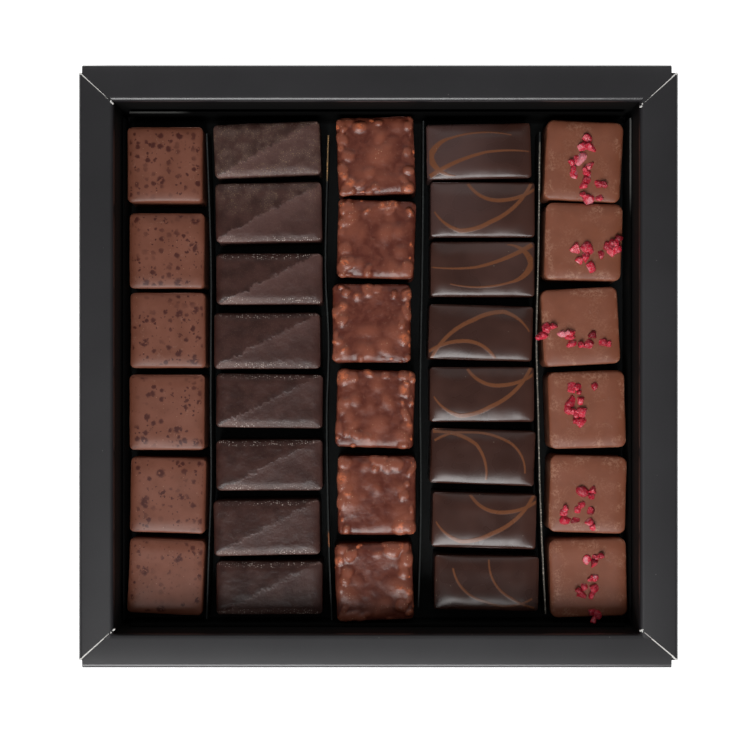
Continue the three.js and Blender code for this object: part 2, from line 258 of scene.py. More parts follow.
def rim_strip(start, end, width, height, cuts):
    """The rim on one side: a strip of card with both long edges folded down. Each cut has a point on it,
    the way to the waste, and how wide the white core shows along it."""
    along = (end - start).normalized()
    inward = Vector((-along.y, along.x, 0))
    bm = bmesh.new()
    section = [(0, -SKIRT), (0, 0), (width, 0), (width, -SKIRT)]
    corners = [
        bm.verts.new(start + inward * across + Vector((0, 0, height + rise)))
        for across, rise in section
    ]
    edges = [bm.edges.new(pair) for pair in zip(corners, corners[1:])]
    run = bmesh.ops.extrude_edge_only(bm, edges=edges)
    moved = [item for item in run["geom"] if isinstance(item, bmesh.types.BMVert)]
    bmesh.ops.translate(bm, vec=end - start, verts=moved)
    bmesh.ops.recalc_face_normals(bm, faces=bm.faces)
    if sum(face.normal.z for face in bm.faces) < 0:
        bmesh.ops.reverse_faces(bm, faces=bm.faces)
    for across, fold in ((0, OUTER_FOLD), (width, INNER_FOLD)):
        folded = [
            edge for edge in bm.edges
            if len(edge.link_faces) == 2
            and all(abs((v.co - start).dot(inward) - across) < 0.01 for v in edge.verts)
        ]
        bmesh.ops.bevel(
            bm, geom=folded, offset=fold, segments=FOLD_SEGMENTS, profile=0.5, affect="EDGES",
            material=-1,
        )
    for point, waste, _ in cuts:
        bmesh.ops.bisect_plane(
            bm, geom=bm.verts[:] + bm.edges[:] + bm.faces[:], plane_co=point, plane_no=waste,
            clear_outer=True,
        )
    bmesh.ops.solidify(bm, geom=bm.faces[:], thickness=CARD)
    # A point in the hollow under the rim tells the outer faces from the inner ones.
    hollow = start + inward * width / 2 + Vector((0, 0, height - UNDER_RIM))
    cut_faces = {
        face for face in bm.faces
        if abs(face.normal.z) < 0.2 and abs(face.normal.dot(along)) > 0.4
    }
    for face in cut_faces:
        face.material_index = CORE

    def outer_side(face):
        off = face.calc_center_median() - hollow
        off -= along * off.dot(along)
        return face not in cut_faces and off.dot(face.normal) > 0

    for _, waste, chamfer in cuts:
        worn = [
            edge for edge in bm.edges
            if len(edge.link_faces) == 2
            and any(face.normal.dot(waste) > 0.99 * waste.length for face in edge.link_faces)
            and any(outer_side(face) for face in edge.link_faces)
            and all(vertex.co.z > height - SKIRT + 0.1 for vertex in edge.verts)
        ]
        bmesh.ops.bevel(
            bm, geom=worn, offset=chamfer, segments=1, profile=0.5, affect="EDGES", material=CORE
        )
    return bm


black_card = Finish("black_card", Specular_IOR_Level=0.5, Coat_Weight=0.6, Coat_Roughness=0.18)
cloud = black_card.mottle(38, detail=3)
grit = black_card.mottle(0.45, detail=3, roughness=0.7)
dust = black_card.specks(7, 0.12, 0.2)
black = black_card.blend(cloud.rising(0.3, 0.7), srgb(29, 28, 31), srgb(36, 35, 38))
black = black_card.blend(grit.rising(0.5, 0.85) * 0.15, black, srgb(70, 70, 72))
black_card.wear(
    Base_Color=black_card.blend(dust * 0.4, black, srgb(150, 148, 145)),
    Roughness=0.4 + 0.12 * cloud,
    height=0.012 * grit,
)
card_core = Finish("card_core", Roughness=0.8)
fibres = card_core.mottle(0.5, detail=4)
card_core.wear(
    Base_Color=card_core.blend(fibres, srgb(205, 203, 200), srgb(246, 244, 240)),
    height=0.04 * fibres,
)
inner_card = Finish("inner_card", Roughness=0.75, Specular_IOR_Level=0.15)
fibres = inner_card.mottle(1.2, detail=3)
grey = inner_card.blend(fibres, srgb(24, 24, 24), srgb(34, 33, 33))
# Painted shade: the inner face of the north wall, which faces the light, is painted darker, near black.
painted_shade_north_wall = inner_card.axis(inner_card.place, "Y").rising(76, 79)
inner_card.wear(
    Base_Color=inner_card.blend(painted_shade_north_wall, grey, srgb(8, 8, 8)), height=0.02 * fibres
)

low, high = millimetres("tray")
wall_top = high.z - SKIRT
south, north = low.y + RIM_SOUTH, high.y - RIM_NORTH
west, east = low.x + RIM_WEST, high.x - RIM_EAST
tucked_west, tucked_east = low.x + TUCK_WEST, high.x - TUCK_EAST
tucked_south, tucked_north = low.y + TUCK_ENDS, high.y - TUCK_ENDS
tray_parts = [
    block((low.x, tucked_south, 0), (high.x, tucked_north, CARD)),
    block((tucked_west, low.y, 0), (tucked_east, tucked_south, CARD)),
    block((tucked_west, tucked_north, 0), (tucked_east, high.y, CARD)),
]
for edge, way in ((low.y, 1), (high.y, -1)):
    tray_parts.append(
        block((tucked_west, edge, CARD), (tucked_east, edge + way * CARD, wall_top))
    )
for edge, way in ((low.x, 1), (high.x, -1)):
    tray_parts.append(
        block((edge, tucked_south, CARD), (edge + way * CARD, tucked_north, wall_top))
    )
for edge, way in ((south, -1), (north, 1)):
    tray_parts.append(block((west, edge, CARD), (east, edge + way * CARD, wall_top), INSIDE))
for edge, way in ((west, -1), (east, 1)):
    tray_parts.append(block((edge, south, CARD), (edge + way * CARD, north, wall_top), INSIDE))
for edge_x, tuck_x in ((low.x, tucked_west), (high.x, tucked_east)):
    for edge_y, tuck_y in ((low.y, tucked_south), (high.y, tucked_north)):
        back_x = tuck_x + math.copysign(CARD, -edge_x)
        back_y = tuck_y + math.copysign(CARD, -edge_y)
        tray_parts.append(block((edge_x, tuck_y, CARD), (back_x, back_y, wall_top)))
        tray_parts.append(block((tuck_x, edge_y, CARD), (back_x, back_y, wall_top)))

# Each mitre runs from the tip of the west or east strip to a point a little way along the opening's
# edge. The strip of the north or south side goes round the opening's corner with a small ear.
mitres = {}
for tip_x, tip_y, ear, edge_x, edge_y, chamfer in (
    (low.x, tucked_north, 0.8, west, north, 0.03),
    (high.x, tucked_north, 1.65, east, north, 0.03),
    (low.x, tucked_south, 1.3, west, south, 0.08),
    (high.x, tucked_south, 1.6, east, south, 0.08),
):
    tip = Vector((tip_x, tip_y, 0))
    inner = Vector((edge_x, edge_y - math.copysign(ear, tip_y), 0))
    mitres[tip_x > 0, tip_y > 0] = tip, inner, chamfer
    run = tip - inner
    place = Matrix.Translation(inner + Vector((0, 0, high.z)))
    place @= Matrix.Rotation(math.atan2(run.y, run.x), 4, "Z")
    near = (TAB_FROM_OPENING, -TAB_HALF_WIDTH, TAB_UNDERSIDE)
    far = (run.length - TAB_FROM_TIP, TAB_HALF_WIDTH, TAB_TOP)
    tray_parts.append(block(near, far, finish=CORE, place=place))


def mitre_cut(corner, along):
    """The cut at one corner of the strip whose run leads that way, out of the strip's own end."""
    tip, inner, chamfer = mitres[corner]
    tip = tip - along * GAP_AT_TIP
    inner = inner - along * GAP_AT_OPENING
    waste = (tip - inner).cross(Vector((0, 0, 1))).normalized()
    return inner, waste if waste.dot(along) > 0 else -waste, chamfer


runs = [
    ((tucked_east, high.y), (tucked_west, high.y), RIM_NORTH, (1, 1), (0, 1)),
    ((low.x, high.y), (low.x, low.y), RIM_WEST, (0, 1), (0, 0)),
    ((tucked_west, low.y), (tucked_east, low.y), RIM_SOUTH, (0, 0), (1, 0)),
    ((high.x, low.y), (high.x, high.y), RIM_EAST, (1, 0), (1, 1)),
]
for start, end, width, *corners in runs:
    start, end = Vector((*start, 0)), Vector((*end, 0))
    along = (end - start).normalized()
    cuts = [mitre_cut(corners[0], -along), mitre_cut(corners[1], along)]
    tray_parts.append(rim_strip(start, end, width, high.z, cuts))
    if width in (RIM_WEST, RIM_EAST):
        for corner, way in zip(corners, (-1, 1)):
            inner, waste, chamfer = mitre_cut(corner, along * way)
            far_y = north + INNER_FOLD if corner[1] else south - INNER_FOLD
            ends = [Vector((start.x, y, 0)) for y in (inner.y, far_y)]
            ends.sort(key=along.dot)
            tray_parts.append(rim_strip(*ends, width, high.z - 0.01, [(inner, -waste, chamfer)]))

# Small torn ends of the fold curl up white at the opening's corners: where, how long and how turned.
for x, y, length, turn in (
    (west - 0.6, north - 0.35, 1.5, -42),
    (east + 0.35, north - 1.6, 0.9, 20),
    (west + 0.1, south + 1.35, 0.9, 35),
    (east + 0.75, south + 1.3, 1.75, 22),
):
    place = Matrix.Translation((x, y, high.z - CHIP_FOOT))
    place @= Matrix.Rotation(math.radians(turn), 4, "Z")
    near, far = (-length / 2, -CHIP_HALF_WIDTH, 0), (length / 2, CHIP_HALF_WIDTH, CHIP_HEIGHT)
    tray_parts.append(block(near, far, finish=CORE, rounding=CHIP_ROUNDING, place=place))
finish_piece(
    join(tray_parts), "tray_card", [black_card, card_core, inner_card], ["tray"],
    sharp=25,
)

# The insert is one thin black sheet whose four edges are turned up against the tray's walls. It keeps
# its own solid. Its raw top edges and north flange are painted near black as painted shade, and the raw
# edges are painted lighter in the north-west and north-east as a painted highlight.
liner_card = Finish("liner_card", Specular_IOR_Level=0.15)
x, y, lift = (liner_card.axis(liner_card.place, name) for name in "XYZ")
flange_north, flange_top = millimetres("insert")[1].yz
raw = lift.rising(flange_top - 0.3, flange_top - 0.05)
turned_up = y.rising(flange_north - 0.9, flange_north - 0.7)
painted_edge_highlight = (x.rising(-58, -64) * turned_up * 0.5).most(x.rising(70, 75) * y.rising(46, 60) * (1 - turned_up))
weave = liner_card.mottle(0.6, detail=3)
sheet = liner_card.blend(weave, srgb(24, 25, 25), srgb(34, 36, 36))
# Painted shade: the raw top edges and the north flange are painted near black.
sheet = liner_card.blend(raw.most(y.rising(flange_north - 2, flange_north - 1)), sheet, srgb(6, 6, 6))
liner_card.wear(
    # Painted highlight: the raw top edges are lighter in the north-west and north-east.
    Base_Color=liner_card.blend(raw * painted_edge_highlight, sheet, srgb(98, 98, 96)),
    Roughness=0.5 - 0.2 * raw,
    height=0.02 * weave,
)
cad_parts["insert"].material_slots[0].material = liner_card.material

# Four strips of black card stand on edge between the columns. They have bowed a little, and their top
# edges are scuffed, with specks of milk chocolate, nut and berry rubbed into them as the box was packed.
DIVIDER_CARD = 0.42
RAGGED = 0.09

# Where an edge is rubbed: which strip it is on, by its x, where it starts and ends in y, and the colour
# that came off on it.
RUBBED = [
    (-44, 41.5, 47, (205, 205, 200)),
    (-44, 33, 36.5, (176, 130, 112)),
    (-16, 58.5, 73, (196, 152, 100)),
    (-16, -56, -52, (198, 120, 70)),
    (50, -90, 70, (178, 168, 154)),
]

divider_card = Finish("divider_card", Roughness=0.7, Specular_IOR_Level=0.15)
x, y, lift = (divider_card.axis(divider_card.place, name) for name in "XYZ")
edge_height = millimetres("divider_1")[1].z
edge = lift.rising(edge_height - 0.45, edge_height - 0.15)
fibre = divider_card.mottle(0.7, detail=4, roughness=0.65).rising(0.45, 0.6)
stretch = divider_card.mottle(13).rising(0.42, 0.6)
speck = divider_card.specks(0.62, 0.6, 0.34, softness=0.5)
plain = divider_card.blend(divider_card.mottle(0.5), srgb(20, 20, 20), srgb(30, 30, 30))
colour = divider_card.blend(edge * (0.3 + 0.3 * fibre * stretch), plain, srgb(64, 68, 67))
for strip_x, from_y, to_y, crumb in RUBBED:
    here = x.within(strip_x - 6, strip_x + 6, 1) * y.within(from_y, to_y, 0.8)
    colour = divider_card.blend(edge * here * (0.3 + speck), colour, srgb(*crumb))
divider_card.wear(Base_Color=colour, height=0.06 * fibre)


def centre_line(node):
    """The middle of a strip's top edge, south to north, from its solid: pairs of y and x."""
    top = millimetres(node)[1].z
    points = [vertex.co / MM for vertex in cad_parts[node].data.vertices]
    ends = sorted({(round(p.y, 2), round(p.x, 3)) for p in points if p.z > top - 0.01})
    return [
        ((left[0] + right[0]) / 2, (left[1] + right[1]) / 2)
        for left, right in zip(ends[::2], ends[1::2])
    ]


def divider_strip(node, seed):
    low, high = millimetres(node)
    line = centre_line(node)
    bm = bmesh.new()
    bmesh.ops.create_grid(bm, x_segments=240, y_segments=14, size=0.5)
    # The grid's x runs along the strip and its y up it, and only the top edge is ragged.
    for vertex in bm.verts:
        y = line[0][0] + (vertex.co.x + 0.5) * (line[-1][0] - line[0][0])
        after = next((i for i, (at, _) in enumerate(line) if at >= y - 1e-6), len(line) - 1)
        (y0, x0), (y1, x1) = line[max(after - 1, 0)], line[max(after, 1)]
        x = x0 + (x1 - x0) * (y - y0) / (y1 - y0)
        rise = vertex.co.y + 0.5
        ragged = RAGGED * (noise.noise(Vector((y * 1.4, seed, 0))) - 1) * rise ** 8
        vertex.co = Vector((x, y, low.z + (high.z - low.z) * rise + ragged))
    bmesh.ops.recalc_face_normals(bm, faces=bm.faces)
    bmesh.ops.solidify(bm, geom=bm.faces[:], thickness=DIVIDER_CARD)
    middle = sum(vertex.co.x for vertex in bm.verts) / len(bm.verts)
    aim = sum(x for _, x in line) / len(line)
    bmesh.ops.translate(bm, vec=(aim - middle, 0, 0), verts=bm.verts)
    return bm


for number in range(1, 5):
    node = f"divider_{number}"
    finish_piece(
        divider_strip(node, number), f"strip_{number}", [divider_card], [node],
        sharp=40,
    )

# The first column holds six squares of milk chocolate. Each is cut, dipped, and pressed under a sheet
# that prints dark specks on its flat top. The coating rolls over the edge and spreads a little at the foot.
CORNER_RADIUS = 1.5
EDGE_RADIUS = 0.8
SHOULDER_DROP = 0.75
SHOULDER_REACH = 4.2
CROWN = 0.12
FOOT_SPREAD = 0.2
FOOT_HEIGHT = 6.0


def lie_of(node, corner):
    """How a praline lies, from its solid: its place, the width and depth of its foot, and its height."""
    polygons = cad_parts[node].data.polygons
    sides = [face for face in polygons if abs(face.normal.z) < 0.3]
    # The four sides face ways a quarter turn apart, so four times their angles agree.
    turning = sum(
        face.area * cmath.exp(4j * math.atan2(face.normal.y, face.normal.x)) for face in sides
    )
    turn = cmath.phase(turning) / 4
    low, high = millimetres(node)
    wide, deep = (high.x - low.x - 2 * corner, high.y - low.y - 2 * corner)
    cosine, sine = math.cos(turn), abs(math.sin(turn))
    spare = cosine * cosine - sine * sine
    width = (wide * cosine - deep * sine) / spare + 2 * corner
    depth = (deep * cosine - wide * sine) / spare + 2 * corner
    tops = [face for face in polygons if face.normal.z > 0.98]
    top = sum(face.area * face.center.z for face in tops) / sum(face.area for face in tops) / MM
    middle = (low + high) / 2
    place = Matrix.Translation((middle.x, middle.y, low.z)) @ Matrix.Rotation(turn, 4, "Z")
    return place, width, depth, top - low.z


def coat(point, half, height, corner, edge):
    """Moves a point of a cube from -1 to 1 onto a block with round corners and a rolled top edge, with
    more points near the edges. Returns where it is and which way is out."""
    flat = Vector((
        half.x * math.sin(point.x * math.pi / 2), half.y * math.sin(point.y * math.pi / 2)
    ))
    z = height * math.sin((point.z + 1) * math.pi / 4)
    core = Vector([max(-h + corner, min(h - corner, v)) for v, h in zip(flat, half)])
    reach = flat - core
    if reach.length > 0:
        reach *= max(abs(reach.x), abs(reach.y)) / reach.length
    out = reach.normalized()
    over = edge - corner + reach.length
    above = z - height + edge
    if over <= 0:
        return Vector((*(core + reach), z)), Vector((0, 0, 1))
    if above <= 0:
        return Vector((*(core + reach), z)), Vector((*out, 0))
    share = max(over, above) / math.hypot(over, above)
    rolled = Vector((*(core + reach + out * over * (share - 1)), z + above * (share - 1)))
    return rolled, Vector((*(out * over), above)).normalized()


def coated_block(
    width, depth, height, seed, cuts=27, corner=CORNER_RADIUS, wave=0.1, drop=SHOULDER_DROP,
    reach=SHOULDER_REACH,
):
    """A dipped praline standing on z = 0, with the waves of its coating. Its shoulders sink by drop at
    the edge and by nothing at reach from it."""
    bm = bmesh.new()
    bmesh.ops.create_cube(bm, size=2)
    bmesh.ops.subdivide_edges(bm, edges=bm.edges, cuts=cuts, use_grid_fill=True)
    half = Vector((width / 2 - FOOT_SPREAD, depth / 2 - FOOT_SPREAD))
    shift = Vector((0, 0, 31.7 * seed))
    for vertex in bm.verts:
        uneven = 0.3 * noise.noise(vertex.co * 1.2 + shift)
        where, out = coat(vertex.co, half, height, corner, EDGE_RADIUS * (1 + uneven))
        flat = 1.0
        for inside in (half.x - abs(where.x), half.y - abs(where.y)):
            flat *= 1 - max(0, 1 - inside / reach) ** 2
        sag = drop * (1 + uneven) * (1 - flat) * (where.z / height) ** 4
        swell = noise.noise(where * 0.13 + shift) + 0.4 * noise.noise(where * 0.35 + shift)
        spread = FOOT_SPREAD * max(0, 1 - where.z / FOOT_HEIGHT) ** 2
        where += out * wave * swell * min(1, where.z / 2)
        where.x += spread * where.x / half.x
        where.y += spread * where.y / half.y
        where.z += CROWN * (where.z / height) - sag
        vertex.co = where
    return bm


def mark_local(bm, turned=False):
    """Gives each point its place on the praline itself, in millimetres, for prints and grain."""
    layer = bm.loops.layers.uv.new("on_praline")
    way = -1 if turned else 1
    for face in bm.faces:
        for loop in face.loops:
            loop[layer].uv = loop.vert.co.xy * way


def milk_colours(finish):
    """Milk chocolate: an even brown with faint lighter and darker clouds, and scuffs in some places."""
    cloud = finish.mottle(6, detail=3)
    scuff = finish.mottle(1.1, detail=4, roughness=0.65, distortion=0.8).rising(0.55, 0.7)
    scuff = scuff * finish.mottle(8).rising(0.5, 0.65)
    brown = finish.blend(cloud.rising(0.3, 0.7), srgb(113, 64, 46), srgb(124, 73, 55))
    return finish.blend(scuff * 0.35, brown, srgb(158, 112, 92)), cloud, scuff


speckled_milk = Finish("speckled_milk", Specular_IOR_Level=0.45)
brown, cloud, scuff = milk_colours(speckled_milk)
drift = speckled_milk.wander(0.55, 1.0)
crowd = speckled_milk.mottle(8, detail=1).rising(0.35, 0.6)
# The southernmost square has the fewest prints.
sparse = speckled_milk.axis(speckled_milk.place, "Y").rising(-50, -80)
crowd = crowd * (1 - 0.8 * sparse)
clump = speckled_milk.specks(5.2, 0.5, 2.0, drift, 0.6)
clump = clump * speckled_milk.mottle(1.1, detail=2).rising(0.36, 0.5)
large = speckled_milk.specks(2.5, 0.5, 1.35, drift, 0.65) * (0.3 - 0.3 * sparse + 0.7 * crowd)
small = speckled_milk.specks(1.3, 0.3, 0.45, drift, 0.5) * (0.2 + 0.8 * crowd)
print_mask = clump.most(large).most(small) * speckled_milk.facing_up(0.9, 0.97)
# Painted glints: small pale specks on the squares.
painted_glints = speckled_milk.specks(2.1, 0.2, 0.16, softness=0.5)
printed = speckled_milk.blend(print_mask * 0.94, brown, srgb(64, 10, 0))
speckled_milk.wear(
    Base_Color=speckled_milk.blend(painted_glints * 0.6, printed, srgb(185, 142, 118)),
    Roughness=0.4 + 0.14 * cloud + 0.1 * scuff,
    height=0.03 * speckled_milk.mottle(1.1, detail=3) + 0.03 * scuff,
)

for number in range(1, 7):
    node = f"speckled_square_{number}"
    place, width, depth, height = lie_of(node, CORNER_RADIUS)
    bm = coated_block(width, depth, height, number)
    finish_piece(bm, f"speckled_{number}", [speckled_milk], [node], place)

# The second column holds eight bars of dark chocolate. A textured sheet laid on the wet coating leaves a
# scalloped ridge along the diagonal, with the half to the south-east lower and grainy. The two bars to
# the north are dusted with gold.
STEP = 0.14
TILT = 0.03
RIDGE = 1.1
DIAGONAL_RISE, DIAGONAL_RUN = 0.46, 0.888
SCALLOP = 2.1

grained_dark = Finish("grained_dark", Specular_IOR_Level=0.33)
on_bar = grained_dark.node("ShaderNodeUVMap", {"uv_map": "on_praline"})
across, along = (grained_dark.axis(on_bar, name) for name in "XY")
beyond = across * DIAGONAL_RISE - along * DIAGONAL_RUN
course = across * DIAGONAL_RUN + along * DIAGONAL_RISE
scallops = abs((course * SCALLOP).math("SINE", course * SCALLOP))
wavy = beyond + 0.3 * scallops + 3.4 * grained_dark.mottle(2.2) - 1.8
lower_half = wavy.rising(-0.5, 0.6) * (0.35 + 0.65 * wavy.rising(9, 0))
# Painted highlight: a thin lighter line along the ridge of the diagonal, in its south-western part.
painted_ridge_highlight = wavy.within(-0.1, 0.35, 0.4) * course.rising(6, -6)
cloud = grained_dark.mottle(5, detail=3)
lumps = grained_dark.mottle(3.6, detail=2)
grain = grained_dark.mottle(0.5, detail=3, roughness=0.7)
north = grained_dark.axis(grained_dark.place, "Y")
dusted = north.rising(42, 62)
patch = grained_dark.mottle(4, detail=3).rising(0.36, 0.66)
normal = grained_dark.node("ShaderNodeNewGeometry", output="Normal")
on_edge = abs(grained_dark.axis(normal, "Y")).rising(0.16, 0.3) * grained_dark.facing_up(0.5, 0.7)
gold = grained_dark.specks(0.45, 0.5, 0.15, softness=0.6) * (0.08 + 0.7 * dusted * patch)
stretch = grained_dark.mottle(6).rising(0.4, 0.55)
pale = lower_half * (0.35 + 0.65 * north.rising(-5, 25))
# Painted glints: pale specks on the north and south shoulders.
painted_edge_glints = grained_dark.specks(0.6, 0.55, 0.24, softness=0.4) * on_edge * (0.25 + 0.75 * stretch)
painted_edge_glints = painted_edge_glints * (1 - 0.7 * dusted)
dark = grained_dark.blend(cloud.rising(0.35, 0.65), srgb(52, 29, 25), srgb(66, 40, 35))
dark = grained_dark.blend(dusted * (0.08 + 0.32 * patch), dark, srgb(122, 99, 91))
dark = grained_dark.blend(pale * (0.35 + 0.5 * grain), dark, srgb(100, 70, 65))
dark = grained_dark.blend(painted_ridge_highlight * 0.3, dark, srgb(112, 82, 76))
# Painted highlight: the shoulders of the lower half, a band along the south edge, are painted lighter.
dark = grained_dark.blend(on_edge * lower_half * 0.3, dark, srgb(156, 128, 120))
dark = grained_dark.blend(gold, dark, srgb(176, 148, 112))
grained_dark.wear(
    Base_Color=grained_dark.blend(painted_edge_glints * 0.75, dark, srgb(205, 188, 178)),
    Roughness=0.3 + 0.08 * cloud + 0.1 * lower_half,
    height=0.28 * lumps + (0.03 + 0.05 * lower_half + 0.1 * on_edge) * grain - 0.08 * lower_half,
)

for number in range(1, 9):
    node = f"grained_bar_{number}"
    place, width, depth, height = lie_of(node, CORNER_RADIUS)
    bm = coated_block(
        width, depth, height + STEP / 2, number + 20, cuts=35, drop=0.8, reach=3.2
    )
    slope = Vector((depth, -width, 0)).normalized()
    for offset in (-RIDGE, 0, RIDGE):
        bmesh.ops.bisect_plane(
            bm, geom=bm.verts[:] + bm.edges[:] + bm.faces[:], plane_co=slope * offset,
            plane_no=slope,
        )
    for vertex in bm.verts:
        past = slope.dot(vertex.co)
        fall = STEP * max(0, min(1, 0.5 + past / (2 * RIDGE))) + TILT * max(0, past)
        vertex.co.z -= fall * max(0, min(1, (vertex.co.z - height + 3) / 3))
    mark_local(bm)
    finish_piece(bm, f"grained_{number}", [grained_dark], [node], place)

# The third column holds six squares of chopped nuts bound in milk chocolate. The thin coating pools over
# the middle and follows each nut near the edges, where some nuts shine through orange.
NUT_CORNER = 1.8
SWELLS = 13
LARGE_CHUNKS, SMALL_CHUNKS = 29, 51
LARGE_BAND, SMALL_BAND = 4.2, 1.6
# How far the plain coating lies below the top, and how much further it sinks between the nuts.
SUNK, HOLLOW = 0.35, 0.25

nutty_milk = Finish("nutty_milk", Specular_IOR_Level=0.45)
thin = nutty_milk.node("ShaderNodeAttribute", {"attribute_name": "thin"}, output="Fac")
rise = nutty_milk.node("ShaderNodeAttribute", {"attribute_name": "rise"}, output="Fac")
blotch = nutty_milk.mottle(2.6, detail=3, distortion=0.5)
# Painted shade: the colour darkens from the tops of the lumps down into the hollows between them.
brown = nutty_milk.blend(rise.rising(0, 0.55), srgb(90, 38, 26), srgb(142, 79, 59))
brown = nutty_milk.blend(blotch.rising(0.35, 0.7) * 0.5, brown, srgb(128, 68, 50))
scuff = nutty_milk.mottle(1.2, detail=4, roughness=0.65, distortion=0.6).rising(0.58, 0.7)
brown = nutty_milk.blend(scuff * 0.25, brown, srgb(160, 112, 92))
bare = thin.rising(0.15, 0.75) * nutty_milk.mottle(0.9, detail=3).rising(0.35, 0.55)
brown = nutty_milk.blend(bare * 0.8, brown, srgb(222, 120, 76))
# Painted glints: pale specks on the higher lumps.
painted_glints = nutty_milk.specks(0.9, 0.3, 0.2, softness=0.5) * rise.rising(0.3, 0.5)
brown = nutty_milk.blend(painted_glints * 0.6, brown, srgb(226, 182, 150))
nutty_milk.wear(
    Base_Color=brown,
    Roughness=0.25 + 0.2 * blotch,
    height=0.12 * nutty_milk.mottle(1.5, detail=3) + 0.4 * nutty_milk.mottle(5, detail=1),
)


def bump(where, across, rise, bare, draw):
    """A lump under the coating: its middle, the axes it is measured on, its height and how bare."""
    turn = Matrix.Rotation(draw.uniform(0, 6.3), 3, "Z") @ Matrix.Rotation(
        draw.uniform(-0.6, 0.6), 3, "X"
    )
    axes = [turn.col[i] / (across * draw.uniform(0.5, 1.45)) for i in range(3)]
    return where, axes, rise, bare


def nut_square(width, depth, height, seed):
    draw = random.Random(seed)
    bm = coated_block(
        width, depth, height - SUNK, seed, cuts=59, corner=NUT_CORNER, wave=0.15, reach=2.8
    )
    layers = [bm.verts.layers.float.new(name) for name in ("rise", "thin")]
    half = Vector((width / 2, depth / 2))
    swells, chunks = [], []
    for _ in range(SWELLS):
        where = Vector((draw.uniform(-0.8, 0.8) * half.x, draw.uniform(-0.8, 0.8) * half.y, height))
        swells.append(bump(where, draw.uniform(3.5, 6), draw.uniform(0.2, 0.6), 0, draw))
    for number in range(LARGE_CHUNKS + SMALL_CHUNKS):
        small = number >= LARGE_CHUNKS
        inwards = draw.uniform(0.1, SMALL_BAND) if small else draw.uniform(0.7, LARGE_BAND)
        side = draw.choice("NNSEEWW")
        run = draw.uniform(-0.97, 0.97)
        spot = {
            "N": (half.x * run, half.y - inwards), "S": (half.x * run, inwards - half.y),
            "E": (half.x - inwards, half.y * run), "W": (inwards - half.x, half.y * run),
        }[side]
        deep = height * draw.random() ** 3 if small else 0.3
        reach = draw.uniform(0.45, 0.9) if small else draw.uniform(1.2, 2.3)
        bare = draw.choice((0, 0.9, 1.5)) if small else draw.choice((0, 0, 0.45))
        lift = draw.uniform(0.15, 0.45) if small else draw.uniform(0.35, 0.9)
        chunks.append(bump(Vector((*spot, height - deep)), reach, lift, bare, draw))
    bm.normal_update()
    moves = []
    for vertex in bm.verts:
        rise, bare = 0, 0
        # A swell rises softly to its middle. A chunk has steep sides and a flatter top.
        for where, axes, swell, _ in swells:
            off = vertex.co - where
            near = 1 - math.hypot(*(axis.dot(off) for axis in axes))
            if near > 0:
                rise = max(rise, swell * near * near * (3 - 2 * near))
        for where, axes, swell, shows in chunks:
            off = vertex.co - where
            if abs(off.x) + abs(off.y) < 4:
                near = 1 - sum(abs(axis.dot(off)) ** 3 for axis in axes) ** (1 / 3)
                top = swell * math.sin(min(1, near * 1.8) * math.pi / 2) if near > 0 else 0
                if top > rise:
                    rise, bare = top, near * shows * 1.6
        share = 0.45 + 0.55 * max(0, vertex.normal.z)
        away = vertex.normal * (rise - HOLLOW) * share * min(1, vertex.co.z / 2)
        moves.append((vertex, away, (rise, bare)))
    for vertex, away, values in moves:
        vertex.co += away
        for layer, value in zip(layers, values):
            vertex[layer] = value
    bmesh.ops.smooth_vert(
        bm, verts=bm.verts, factor=0.3, use_axis_x=True, use_axis_y=True, use_axis_z=True
    )
    return bm


for number in range(1, 7):
    node = f"nut_square_{number}"
    place, width, depth, height = lie_of(node, NUT_CORNER)
    bm = nut_square(width, depth, height, number + 40)
    finish_piece(bm, f"nutty_{number}", [nutty_milk], [node], place)

# The fourth column holds eight glossy bars of dark chocolate. Their flat tops carry a swirl of copper
# coloured cocoa butter, printed from a sheet, so the same curves come the other way up on some bars.
SOFT_EDGE = 0.34
BAR_CORNER = 1.0


def arc(finish, place, start, through, end, width_at_start, width_at_end):
    """A printed stroke along the circle through three points, tapering between two half widths. The
    points are complex numbers, and angles are measured from the middle of the stroke."""
    start, through, end = (complex(*point) for point in (start, through, end))
    chord = (through - start) / (end - start)
    centre = start - (start - end) * (chord - abs(chord) ** 2) / (2j * chord.imag)
    radius = abs(start - centre)
    facing = cmath.phase(through - centre)
    sweep = [cmath.phase((p - centre) * cmath.exp(-1j * facing)) for p in (start, end)]
    middle = facing + sum(sweep) / 2
    half = abs(sweep[1] - sweep[0]) / 2
    way = 1 if sweep[1] > sweep[0] else -1
    x, y = (finish.axis(place, name) for name in "XY")
    x, y = x - centre.real, y - centre.imag
    ahead = x * math.cos(middle) + y * math.sin(middle)
    beside = y * math.cos(middle) - x * math.sin(middle)
    angle = ahead.math("ARCTAN2", beside, ahead)
    distance = (ahead * ahead + beside * beside) ** 0.5
    share = angle * (0.5 * way / half) + 0.5
    width = width_at_start + (width_at_end - width_at_start) * share
    inside = (abs(distance - radius) - width).rising(SOFT_EDGE / 2, -SOFT_EDGE / 2)
    return inside * (abs(angle) * radius).rising(half * radius + 0.15, half * radius - 0.05)


